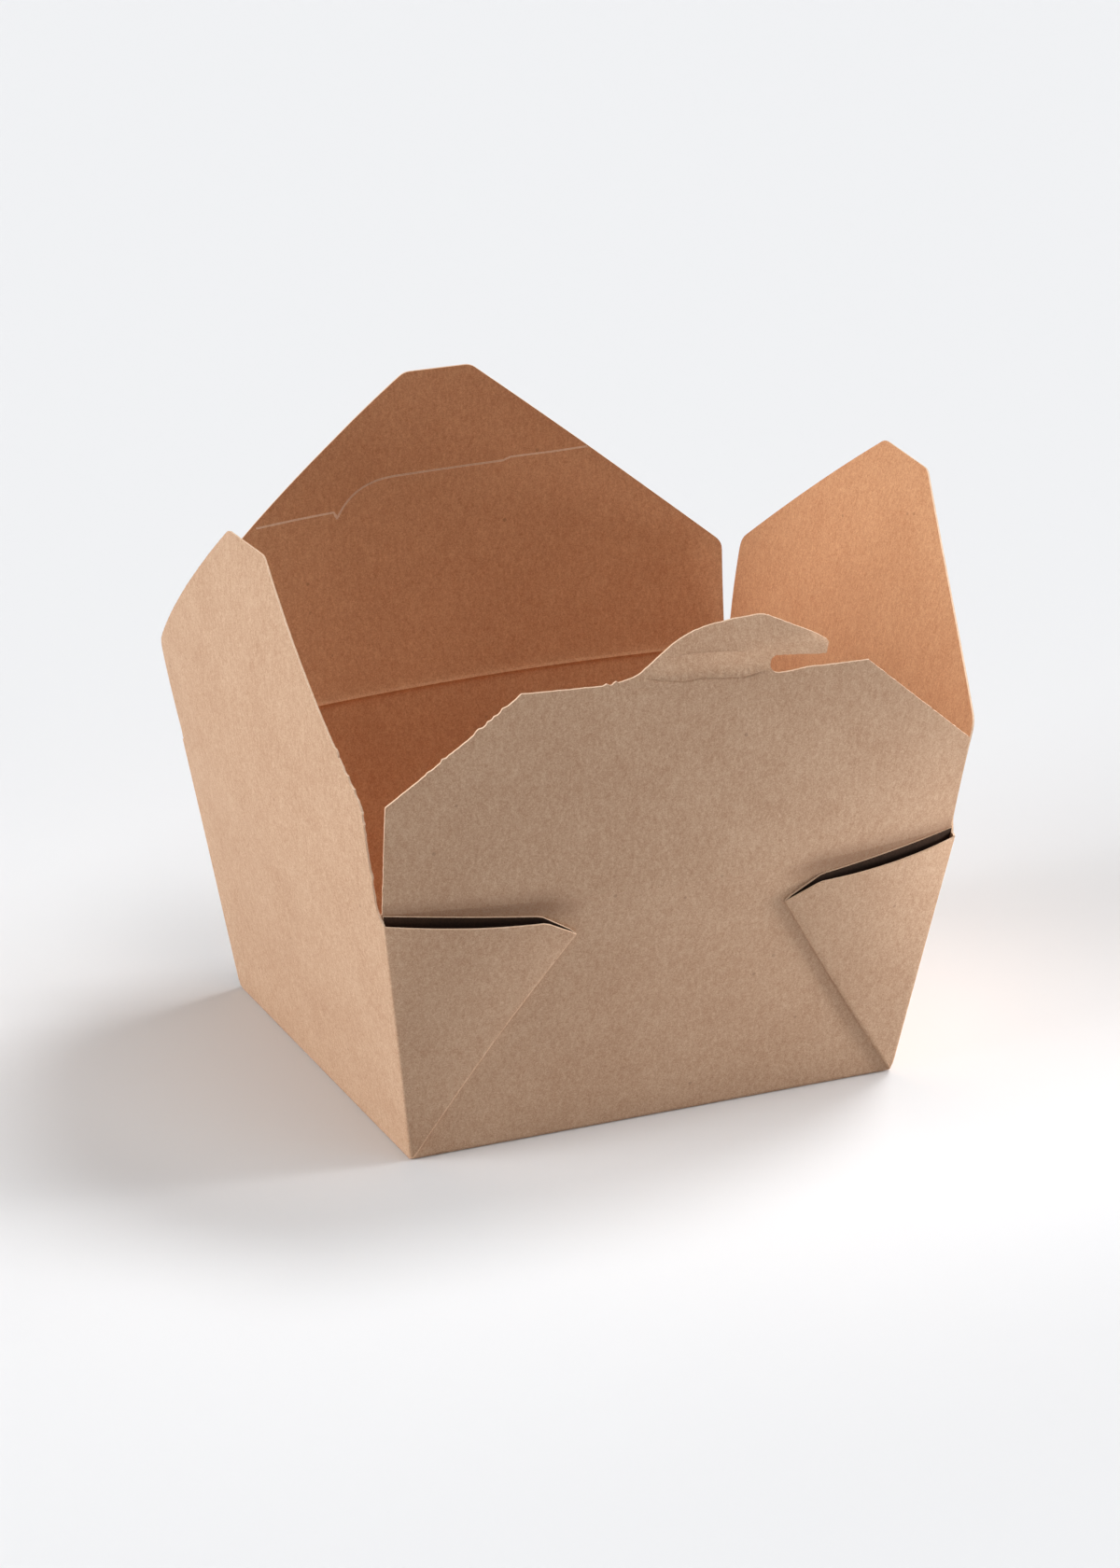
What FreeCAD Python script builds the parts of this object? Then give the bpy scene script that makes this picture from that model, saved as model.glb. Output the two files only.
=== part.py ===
# Folded paperboard takeaway box, open: one web-cornered sheet tray and four hinged closing flaps.
# Millimetres. The origin is the centre of the base's underside, +Z is up, the front wall faces -Y.
import FreeCAD, Part
import math
import os

V = FreeCAD.Vector

# Board and tray
board = 0.5              # thickness of the kraft board
base_width = 125.0       # left to right, across the underside
base_depth = 107.0       # front to back, across the underside
height = 66.0            # underside to the front and back creases
side_flare = 10.5        # how far each side wall leans out over that height
front_flare = 8.0        # how far the front and back walls lean out over it
side_drop = 2.0          # the side creases lie this much lower, so the side flaps close first
base_fold_radius = 1.2   # outside radius of the folds round the base
crease_gap = 0.3         # free line between a wall's top edge and the rounded root of its flap

# Web corners, folded against the outside of the front and back walls
gusset_foot = 2.0        # where the folded web starts, above the underside
gusset_tip_in = 35.8     # the tip of its fold, in from the base's corner along the wall
gusset_tip_run = 56.7    # and up along the wall
gusset_shoulder_in = 27.5  # where its top edge turns up to the corner, measured the same way
gusset_shoulder_run = 61.2
gusset_corner_top = 63.4  # height of its top edge at the corner
gusset_spring = 2.0      # how far the outer layer stands off the inner one at the corner

# Flaps: lengths run along the card from the crease, leans are from upright, outwards
flap_side_gap = 1.4      # a flap's straight sides stay this far inside the rim's corners
flap_corner_radius = 2.0
bend_run = 50.0          # the run over which each bend below is measured
swell_run = 12.0         # the run in which the middle of a flap swells out from its straight crease
# A twist is how much more a flap leans at its right side than at its left, seen from outside.
# A swell is how far its middle would stand out at the crease if the crease were not straight.

side_shoulder = 27.5
side_length = 72.0
side_tip_width = 20.0
left_lean = 12.9
left_bend = -9.5
left_twist = -4.2
left_swell = 4.2
right_lean = 7.1
right_bend = 9.9
right_twist = -5.6
right_swell = 2.7

front_shoulder = 26.5
front_length = 53.0
front_top_width = 85.0
front_lean = 12.0
front_bend = 1.0
front_twist = 7.0
front_swell = 9.0

back_shoulder = 25.5
back_length = 81.0
back_tip_width = 16.5
back_lean = 20.9
back_bend = -11.6
back_twist = 14.0
back_swell = 6.3

# Hooked locking tab at the top of the front flap, places across are from the flap's middle
tab_height = 15.0
tab_start = -21.0        # where its long sweep leaves the flap's top edge
tab_crown = 15.5         # its highest place
tab_nose = 32.2          # the point of its hook
tab_nose_height = 5.0
tab_chin = 1.2           # how far the underside of the hook falls short of the nose
tab_slot_height = 2.7
tab_slot_end = 18.0      # the closed end of the slot under the hook
tab_slot_dip = 0.6       # how far the slot is cut below the flap's top edge
tab_sweep_pull = 11.0    # handles of the sweep's curve, at its start and at the crown
tab_crown_pull = 28.0
tab_hook_pull = 5.0

# Slit across the back flap that takes the tab, with one curled end
slit_height = 53.8
slit_curl_height = 45.5
slit_left = -25.8
slit_run_start = -12.5
slit_right = 18.0
slit_width = 0.6

# Worked out from the sizes above
rim_half_x = base_width / 2 + side_flare
rim_half_y = base_depth / 2 + front_flare
side_crease = height - side_drop
front_axis_y = rim_half_y - board / 2
side_axis_x = base_width / 2 + side_flare * side_crease / height - board / 2
wall_stop = board / 2 + crease_gap
slack = 1.0
nudge = 0.01             # a step along a card, to find its slope
card_steps = (0.0, 0.05, 0.12, 0.22, 0.4, 0.65, 1.0)  # places along a card that its curve goes through
card_sections = (-1.0, -0.6, -0.2, 0.2, 0.6, 1.0)  # places across it
over = 1.2               # how far a cutting shape runs past what it cuts, as a share


def rectangle(half_x, half_y, z):
    corners = [V(-half_x, -half_y, z), V(half_x, -half_y, z), V(half_x, half_y, z), V(-half_x, half_y, z)]
    return Part.makePolygon(corners + corners[:1])


def block(low, high):
    return Part.makeBox(high.x - low.x, high.y - low.y, high.z - low.z, low)


def solid_of(triangles):
    faces = [Part.Face(Part.makePolygon([a, b, c, a])) for a, b, c in triangles]
    solid = Part.Solid(Part.Shell(faces))
    if solid.Volume < 0:
        solid.reverse()
    return solid


def tapered_body(inset, floor, fold_radius):
    """The tray's outer form, or the hollow in it, with rounded folds round the base."""
    def half_at(base, flare, z):
        return base / 2 + flare * z / height - inset * math.hypot(flare, height) / height

    rings = []
    for z in (floor, height + slack):
        half_x = half_at(base_width, side_flare, z)
        half_y = half_at(base_depth, front_flare, z)
        rings.append(rectangle(half_x, half_y, z))
    body = Part.makeLoft(rings, True, True)
    base_folds = [edge for edge in body.Edges if edge.BoundBox.ZMax < floor + board]
    return body.makeFillet(fold_radius, base_folds)


def folded_walls():
    """The base and the four walls, one board thick."""
    outside = tapered_body(0, 0, base_fold_radius)
    return outside.cut(tapered_body(board, board, base_fold_radius - board))


def trim_to_creases(shell):
    """Cuts the walls off just under their creases. The front and back ones are the higher."""
    top = V(rim_half_x + slack, rim_half_y + slack, height + slack)
    shell = shell.cut(block(V(-top.x, -top.y, height - wall_stop), top))
    inside_y = rim_half_y - 2 * board
    return shell.cut(block(V(-top.x, -inside_y, side_crease - wall_stop), V(top.x, inside_y, top.z)))


def gusset():
    """The folded web at the left end of the front wall, as a solid and the pocket in it.

    Its inner layer lies on the front wall. Its outer layer comes round the corner from the
    side wall, stands off by the spring at the corner and meets the inner one at the fold.
    """
    up_front = V(0, -front_flare, height).normalize()
    up_corner = V(-side_flare, -front_flare, height)
    out = V(0, -height, -front_flare).normalize()
    side_out = V(-height, 0, -side_flare).normalize()
    round_corner = side_out.cross(up_corner).normalize()
    if round_corner.y > 0:
        round_corner = -round_corner

    base_corner = V(-base_width / 2, -base_depth / 2, 0)
    foot = base_corner + up_corner * (gusset_foot / height)
    corner_end = base_corner + up_corner * (gusset_corner_top / height)
    tip = base_corner + up_front * gusset_tip_run + V(gusset_tip_in, 0, 0)
    shoulder = base_corner + up_front * gusset_shoulder_run + V(gusset_shoulder_in, 0, 0)

    bed = [point - out * (board / 2) for point in (foot, corner_end, shoulder, tip)]
    corner_skin = corner_end + round_corner * (2 * board + gusset_spring)
    low_skin, tip_skin = foot + out * (2 * board), tip + out * (2 * board)
    shoulder_skin = same_place(shoulder, (foot, corner_end, tip), (low_skin, corner_skin, tip_skin))
    skin = [low_skin, corner_skin, shoulder_skin, tip_skin]
    triangles = []
    for layer in (bed, skin):
        triangles += [tuple(layer[:3]), (layer[0], layer[2], layer[3])]
    for index in range(len(bed)):
        after = (index + 1) % len(bed)
        triangles += [(bed[index], bed[after], skin[after]), (bed[index], skin[after], skin[index])]
    body = solid_of(triangles)

    card = V(board, 0, 0)
    start = foot + out * board + card
    floor = corner_end + round_corner * board + card
    roof = floor + round_corner * gusset_spring
    fold = tip + out * board
    floor, roof, fold = [start + (point - start) * over for point in (floor, roof, fold)]
    sides = [(start, floor, roof), (start, roof, fold), (start, fold, floor)]
    return body, solid_of(sides + [(floor, fold, roof)])


def same_place(point, before, after):
    """The place in one triangle's plane that a point has in another's."""
    origin, first, second = before
    one, two, way = first - origin, second - origin, point - origin
    area = one.dot(one) * two.dot(two) - one.dot(two) ** 2
    share_one = (way.dot(one) * two.dot(two) - way.dot(two) * one.dot(two)) / area
    share_two = (way.dot(two) * one.dot(one) - way.dot(one) * one.dot(two)) / area
    return after[0] + (after[1] - after[0]) * share_one + (after[2] - after[0]) * share_two


def tray():
    """The tray is one folded sheet: base, four walls and four web corners."""
    shell = trim_to_creases(folded_walls())
    body, pocket = gusset()
    bodies = []
    pockets = []
    for across in (False, True):
        for behind in (False, True):
            one, hollow = body, pocket
            if across:
                one, hollow = [part.mirror(V(), V(1, 0, 0)) for part in (one, hollow)]
            if behind:
                one, hollow = [part.mirror(V(), V(0, 1, 0)) for part in (one, hollow)]
            bodies.append(one)
            pockets.append(hollow)
    shell = shell.fuse(bodies)
    for hollow in pockets:
        shell = shell.cut(hollow)
    return shell.removeSplitter()


class Bend:
    """A flap's curved card. Its side view starts at the crease with one lean and bends steadily.

    Across the flap, share is -1 at its left side, 0 in the middle and 1 at its right side.
    """

    def __init__(self, lean, bend, length, twist, swell):
        self.start = math.radians(lean)
        self.radius = bend_run / math.radians(bend)
        self.length = length
        self.twist = math.radians(twist)
        self.swell = swell
        self.chord_lean = self.start + length / 2 / self.radius

    def middle(self, run, share):
        """(outwards, up) of a place on the middle of the card."""
        start = self.start + self.twist * share / 2
        lean = start + run / self.radius
        outwards = self.radius * (math.cos(start) - math.cos(lean))
        up = self.radius * (math.sin(lean) - math.sin(start))
        fade = (1 - run / self.length) * (1 - math.exp(-(run / swell_run) ** 2))
        return outwards + self.swell * (1 - share * share) * fade, up

    def point(self, run, share, off):
        """A place on the card, off its middle by a distance outwards."""
        before, after = self.middle(run - nudge, share), self.middle(run + nudge, share)
        along = V(0, before[0] - after[0], after[1] - before[1]).normalize()
        outwards, up = self.middle(run, share)
        return V(0, -outwards, up) + V(0, -along.z, along.y) * off

    def along_chord(self, run):
        lean = self.start + run / self.radius
        outwards = self.radius * (math.cos(self.start) - math.cos(lean))
        up = self.radius * (math.sin(lean) - math.sin(self.start))
        return outwards * math.sin(self.chord_lean) + up * math.cos(self.chord_lean)


def through(points):
    line = Part.BSplineCurve()
    line.interpolate(points)
    return line.toShape()


def bent_card(bend, half_width):
    """The flap's card before it is cut to shape: its root is rounded about the crease."""
    half = board / 2
    sections = []
    for share in card_sections:
        across = V(half_width * share, 0, 0)
        outer = [across + bend.point(bend.length * step, share, half) for step in card_steps]
        inner = [across + bend.point(bend.length * step, share, -half) for step in reversed(card_steps)]
        below = (outer[0] + inner[-1]) / 2
        low = across + (bend.point(0, share, 0) - bend.point(nudge, share, 0)).normalize() * half
        root = Part.Arc(inner[-1], low + (across - below), outer[0]).toShape()
        tip = Part.LineSegment(outer[-1], inner[0]).toShape()
        sections.append(Part.Wire([through(outer), tip, through(inner), root]))
    return Part.makeLoft(sections, True, False)


def cutter(edges, bend, depth):
    """A prism across the card from edges drawn flat, x across the flap and y up its chord."""
    face = Part.Face(Part.Wire(edges))
    prism = face.extrude(V(0, 0, 2 * depth))
    prism.translate(V(0, 0, -depth))
    prism.rotate(V(), V(1, 0, 0), 90 + math.degrees(bend.chord_lean))
    return prism


def polyline(points):
    return [Part.LineSegment(a, b).toShape() for a, b in zip(points, points[1:])]


def rounded(points):
    """Edges through the points, with each inner corner rounded by the flaps' corner radius."""
    edges = []
    last = points[0]
    for before, corner, after in zip(points, points[1:], points[2:]):
        way_in = (before - corner).normalize()
        way_out = (after - corner).normalize()
        half_turn = way_in.getAngle(way_out) / 2
        cut_back = flap_corner_radius / math.tan(half_turn)
        start = corner + way_in * cut_back
        end = corner + way_out * cut_back
        inward = (way_in + way_out).normalize()
        crest = corner + inward * (flap_corner_radius / math.sin(half_turn) - flap_corner_radius)
        edges.append(Part.LineSegment(last, start).toShape())
        edges.append(Part.Arc(start, crest, end).toShape())
        last = end
    edges.append(Part.LineSegment(last, points[-1]).toShape())
    return edges


def flap(bend, half_width, shoulder, top_edges):
    """A flap at the front wall's place, its crease along X through the origin.

    Its sides run straight up to the shoulders. From there top_edges give its outline, from
    the right-hand side round to the left.
    """
    low = V(half_width, -slack, 0)
    edges = polyline([V(-half_width, -slack, 0), low, V(half_width, bend.along_chord(shoulder) / 2, 0)])
    edges += top_edges
    edges += polyline([V(-half_width, bend.along_chord(shoulder) / 2, 0), V(-half_width, -slack, 0)])
    depth = bend.length / 2
    return bent_card(bend, half_width + slack).common(cutter(edges, bend, depth))


def tapered_top(bend, half_width, shoulder, length, tip_width):
    """Shoulders, straight slants and a blunt tip."""
    half_tip = tip_width / 2
    low = bend.along_chord(shoulder) / 2
    high = bend.along_chord(length) - board
    shoulder_up = bend.along_chord(shoulder)
    points = [V(half_width, low, 0), V(half_width, shoulder_up, 0), V(half_tip, high, 0)]
    points += [V(-half_tip, high, 0), V(-half_width, shoulder_up, 0), V(-half_width, low, 0)]
    return rounded(points)


def side_flap(lean, bend, twist, swell):
    half_width = rim_half_y - flap_side_gap
    shape = Bend(lean, bend, side_length + board, twist, swell)
    return flap(shape, half_width, side_shoulder,
                tapered_top(shape, half_width, side_shoulder, side_length, side_tip_width))


def curve(points):
    line = Part.BezierCurve()
    line.setPoles(points)
    return line.toShape()


def front_flap():
    """A low trapezium with a hooked tab: a long sweep, a crown, and a nose over a narrow slot."""
    half_width = rim_half_x - flap_side_gap
    shape = Bend(front_lean, front_bend, front_length + tab_height + board, front_twist, front_swell)
    low = shape.along_chord(front_shoulder) / 2
    shoulder_up = shape.along_chord(front_shoulder)
    top = shape.along_chord(front_length)
    half_top = front_top_width / 2
    nose = V(tab_nose, top + tab_nose_height, 0)
    chin = V(tab_nose - tab_chin, top + tab_slot_height, 0)
    slot_radius = (tab_slot_height + tab_slot_dip) / 2
    slot_top = V(tab_slot_end + slot_radius, top + tab_slot_height, 0)
    slot_back = V(tab_slot_end, slot_top.y - slot_radius, 0)
    slot_low = V(slot_top.x, top - tab_slot_dip, 0)
    crown = V(tab_crown, top + tab_height, 0)
    start = V(tab_start, top, 0)
    right = rounded([V(half_width, low, 0), V(half_width, shoulder_up, 0), V(half_top, top, 0), slot_low])
    slot = [Part.Arc(slot_low, slot_back, slot_top).toShape(), Part.LineSegment(slot_top, chin).toShape()]
    nose_pull = V(-tab_chin, tab_hook_pull / 2, 0)
    hook = [
        curve([chin, V(tab_nose, chin.y, 0), nose]),
        curve([nose, nose + nose_pull, crown + V(tab_hook_pull, 0, 0), crown]),
        curve([crown, crown - V(tab_crown_pull, 0, 0), start + V(tab_sweep_pull, 0, 0), start]),
    ]
    left = rounded([start, V(-half_top, top, 0), V(-half_width, shoulder_up, 0), V(-half_width, low, 0)])
    return flap(shape, half_width, front_shoulder, right + slot + hook + left)


def slit(shape):
    """A thin cut: level for most of its run, then curling down to its left end."""
    level = shape.along_chord(slit_height)
    end = V(slit_left, shape.along_chord(slit_curl_height), 0)
    run_start = V(slit_run_start, level, 0)
    thin = V(slit_width, 0, 0)
    low = V(0, slit_width, 0)
    pull = (run_start.x - end.x) / 2
    outer = curve([end, end + V(0, pull / 2, 0), run_start - V(pull, 0, 0), run_start])
    start, stop = run_start - low, end + thin
    inner = curve([start, start - V(pull, 0, 0), stop + V(0, pull / 2, 0), stop])
    right_top = V(slit_right, level, 0)
    edges = [outer] + polyline([run_start, right_top, right_top - low, run_start - low])
    edges += [inner, Part.LineSegment(end + thin, end).toShape()]
    return cutter(edges, shape, shape.length / 2)


def back_flap():
    """The longest flap: a tall blunt wedge with the slit that takes the front flap's tab."""
    half_width = rim_half_x - flap_side_gap
    shape = Bend(back_lean, back_bend, back_length + board, back_twist, back_swell)
    outline = tapered_top(shape, half_width, back_shoulder, back_length, back_tip_width)
    card = flap(shape, half_width, back_shoulder, outline)
    # Seen from the inside, left and right are the other way round
    return card.cut(slit(shape).mirror(V(), V(1, 0, 0)))


def place(solid, turn, crease):
    solid.rotate(V(), V(0, 0, 1), turn)
    solid.translate(crease)
    return solid


def build():
    left = side_flap(left_lean, left_bend, left_twist, left_swell)
    right = side_flap(right_lean, right_bend, right_twist, right_swell)
    return {
        "tray": tray(),
        "front_flap": place(front_flap(), 0, V(0, -front_axis_y, height)),
        "right_flap": place(right, 90, V(side_axis_x, 0, side_crease)),
        "back_flap": place(back_flap(), 180, V(0, front_axis_y, height)),
        "left_flap": place(left, -90, V(-side_axis_x, 0, side_crease)),
    }


os.makedirs("parts", exist_ok=True)
for name, shape in build().items():
    print(name, "valid", shape.isValid(), "solids", len(shape.Solids), "cm3", round(shape.Volume / 1000, 3))
    shape.exportStep("parts/" + name + ".step")
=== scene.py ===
import math

import bpy
import numpy as np
from mathutils import Matrix, Vector
from mathutils.geometry import delaunay_2d_cdt
from mathutils.kdtree import KDTree


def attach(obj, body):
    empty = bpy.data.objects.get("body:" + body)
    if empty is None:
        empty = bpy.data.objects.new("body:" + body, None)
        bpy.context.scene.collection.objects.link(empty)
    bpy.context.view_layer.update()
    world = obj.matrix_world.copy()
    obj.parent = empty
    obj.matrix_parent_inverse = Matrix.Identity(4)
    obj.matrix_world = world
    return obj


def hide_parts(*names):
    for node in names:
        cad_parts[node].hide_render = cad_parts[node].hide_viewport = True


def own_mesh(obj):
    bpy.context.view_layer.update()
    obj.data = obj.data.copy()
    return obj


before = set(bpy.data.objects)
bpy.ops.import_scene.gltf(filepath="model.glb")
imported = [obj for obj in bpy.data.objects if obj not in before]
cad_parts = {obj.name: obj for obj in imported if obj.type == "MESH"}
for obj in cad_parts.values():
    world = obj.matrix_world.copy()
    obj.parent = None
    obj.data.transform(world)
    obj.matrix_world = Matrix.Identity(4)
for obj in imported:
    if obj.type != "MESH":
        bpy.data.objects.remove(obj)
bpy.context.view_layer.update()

# Sizes are in millimetres and angles in degrees, unless a comment says otherwise.
MM = 0.001
BOARD = 0.5
SEED = 7

# The meshes: steps along edges, cuts and lines, and how far the points between them keep away.
SPACING = 1.5
ROW_SHARE = 0.866
EDGE_STEP, CUT_STEP, LINE_STEP = 1.2, 0.8, 0.6
EDGE_CLEAR, CUT_CLEAR, LINE_CLEAR = 0.4, 0.1, SPACING * 0.45
SHARP_ANGLE = 50
OUTER_SLOT, INNER_SLOT, EDGE_SLOT, PAINTED_SHADOW_SLOT = 0, 1, 2, 3

# The folded box, as in the CAD model.
BASE_HALF_WIDTH, BASE_HALF_DEPTH = 62.25, 53.25
SIDE_RIM_OUT, FRONT_RIM_OUT = 72.43, 61.25
FRONT_CREASE, SIDE_CREASE = 66.0, 64.0
WALL_START = 0.8
WALL_INSET = 0.52
CORNER_ROUND = 1.1

# The base and the folds round it: how far inside the walls the flat part ends, and where a fold's
# middle line is from there.
FOLD_RADIUS, FOLD_TURN = 0.9, 83
FOLD_START, FOLD_MIDDLE = 0.85 * FOLD_RADIUS, 0.4
BASE_DOME = 0.8

# How the boards curve: a bend is measured over its run, a flap takes up its rim's rise over another,
# the rim's bow fades towards the base, and a pressed line tapers at its ends.
BEND_RUN = 50.0
RISE_RUN = 15.0
BOW_FADE = 1.3
CREASE_WIDTH = 0.5
TAPER = 3.0

# The walls in their own axes: half widths at the base and the rim, outwards there, and the crease's height.
FRONT_WALL = (BASE_HALF_WIDTH + BOARD / 2, 73.0, BASE_HALF_DEPTH, FRONT_RIM_OUT, FRONT_CREASE)
SIDE_WALL = (53.9, 63.45, BASE_HALF_WIDTH, SIDE_RIM_OUT, SIDE_CREASE)

# The web corners, along the wall and up it. A layer's top line runs from the tip to the box's corner.
# The last columns before the corner are outside the pockets and get no painted shadow.
FOOT, TIP = (61.8, 1.3), (26.7, 56.7)
OUTER_RISE, INNER_RISE = [(27.6, 57.4), (34.3, 61.3)], [(27.6, 57.6), (35.3, 62.2)]
SHOULDER, OUTER_SHOULDER_DROP, INNER_SHOULDER_DROP = 50.5, 1.6, 2.2
OUTER_TOP_DROP, INNER_TOP_DROP, INNER_INSET = 0.4, 0.3, 0.8
LAYER_GAP, FOOT_GAP_SHARE = 0.55, 0.6
FOLD_ROLL = 0.28
WEB_SPRING = 1.5
CORNER_PULL = 0.62
WEB_ROWS, LAYER_COLUMNS, ROLL_PARTS, ARC_PARTS = 44, 30, 6, 8
LIT_COLUMNS = 6

# Painted shade on the board beside the pockets, darkening its colour: strength, reach, place below the
# crease, and where along the wall.
POCKET_SHADE, POCKET_REACH = 0.6, 3.2
POCKET_BELOW, POCKET_DROP, POCKET_DROP_RUN = 1.6, 1.0, 10.0
POCKET_TIP, POCKET_FULL = 22.0, 36.0

# The side flaps: half widths at the root, just above it, at the shoulder and at the tip.
SIDE_ROOT, SIDE_WAIST, SIDE_SHOULDER, SIDE_TIP = 62.4, 60.7, 60.5, 10.0
SIDE_WAIST_UP, SIDE_SHOULDER_UP = 3.0, 27.5

# The front flap and its tab, which is bent back at its root and turned towards its hook.
FRONT_ROOT, FRONT_SHOULDER, FRONT_SHOULDER_UP, FRONT_TOP = 72.3, 73.0, 26.5, 42.5
TAB_ROOT, TAB_BEND, TAB_SOFT = 52.7, 18.0, 0.8
TAB_TURN, TAB_SIDE, TAB_TURN_RUN = 8.0, -14.0, 5.0

# The back flap, which is bent a little at its slit and the folds beside it.
BACK_ROOT, BACK_SHOULDER, BACK_SHOULDER_UP, BACK_TIP = 72.0, 72.5, 25.5, 8.2
BACK_BEND, BACK_SOFT = 5.0, 0.5
SLIT_WIDTH = 0.08

# Torn board: stretches of edge with loose fibres, and strips where the board's inside shows.
WORN_STEP, WORN_REACH, WORN_MOST, EDGE_FUZZ = 0.9, 1.0, 3, 0.03
LEFT_WEAR, FRONT_WEAR = 0.22, 0.16
TEAR_WIDTH, TEAR_SHARE = 0.44, 0.62

# The board's tone is a sum of noises, each with its share. Their scales are per metre.
FIBRES = dict(scale=1700, detail=4, roughness=0.75, distortion=0.8)
STREAKS = dict(scale=950, detail=4, roughness=0.7, distortion=0.8, stretch=(1.0, 1.0, 0.4))
CLOUDS = dict(scale=60, detail=4)
GRAIN = dict(scale=3300, detail=2)
TONE = [(FIBRES, 0.34), (STREAKS, 0.24), (CLOUDS, 0.10), (GRAIN, 0.32)]
TONE_LOW, TONE_HIGH = 0.40, 0.60
SPECK_SCALE, SPECK_RARE, SPECK_SIZE, SPECK_STRENGTH = 230, 0.9, 0.11, 0.35
TOOTH = dict(scale=2200, detail=3)
TOOTH_STRENGTH, TOOTH_DEPTH = 0.35, 0.08
BOARD_SPECULAR = 0.25

# The board's screen colours, as light, dark and speck, and its roughness.
OUTSIDE_LOOK = (207, 175, 147), (173, 134, 105), (120, 84, 60), 0.8
INSIDE_LOOK = (221, 171, 129), (186, 130, 92), (116, 76, 50), 0.85
EDGE_LOOK = (236, 208, 182), (216, 180, 148), (170, 130, 100), 0.9
# The pocket look is painted shadow: a near-black board colour for the inside of the web pockets, where they
# lie in shade.
PAINTED_POCKET_SHADOW_LOOK = (66, 44, 30), (44, 28, 18), (30, 20, 12), 0.95

# The camera, from the photograph's perspective.
AZIMUTH, ELEVATION, ROLL = -24.19, 22.36, 0.3
DISTANCE, SIDE_SHIFT, UP_SHIFT = 1584.63, -0.3, 59.35
FOCAL_PIXELS, IMAGE_HEIGHT, SENSOR = 7000.0, 1680.0, 36.0
CLIP_METRES = (0.05, 50)

# The suns: name, direction towards it, strength and softness.
SUNS = [
    ("key", (0.47, 0.18, 0.87), 0.47, 20),
    ("above", (0.08, -0.32, 0.94), 0.22, 30),
    ("left_behind", (-1.0, 0.27, 0.27), 0.37, 30),
    ("left", (-1.0, 0.03, 0.35), 0.50, 30),
    ("right", (1.0, -0.12, 0.20), 0.52, 35),
]
WORLD_STRENGTH = 0.10

# The spot beside the box, with its places and its size in metres and its power in watts.
SPOT_PLACE, SPOT_AIM = (0.40, -0.14, 0.08), (0.03, -0.06, 0.065)
SPOT_POWER, SPOT_CONE, SPOT_SIZE = 4.8, 50, 0.05

FLOOR_COLOUR, FLOOR_ROUGHNESS, FLOOR_HALF_METRES = (233, 234, 236), 0.9, 6.0

GAUSS_AT, GAUSS_WEIGHT = np.polynomial.legendre.leggauss(6)
GAUSS_AT = (GAUSS_AT + 1) / 2
GAUSS_WEIGHT = GAUSS_WEIGHT / 2
rng = np.random.default_rng(SEED)


def smooth(x):
    """0 to 1 with soft ends."""
    x = np.clip(x, 0, 1)
    return x * x * (3 - 2 * x)


def bump(x, width):
    return np.exp(-(x / width) ** 2)


def past(over, softness):
    """How far past a line, with a soft start."""
    return (over + np.hypot(over, softness)) / 2


def slope(angle):
    return math.tan(math.radians(angle))


def unit(vectors):
    return vectors / np.linalg.norm(vectors, axis=-1, keepdims=True)


def left_of(along):
    """The directions at a right angle to flat directions, to their left."""
    return np.stack([-along[:, 1], along[:, 0]], axis=1)


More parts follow.
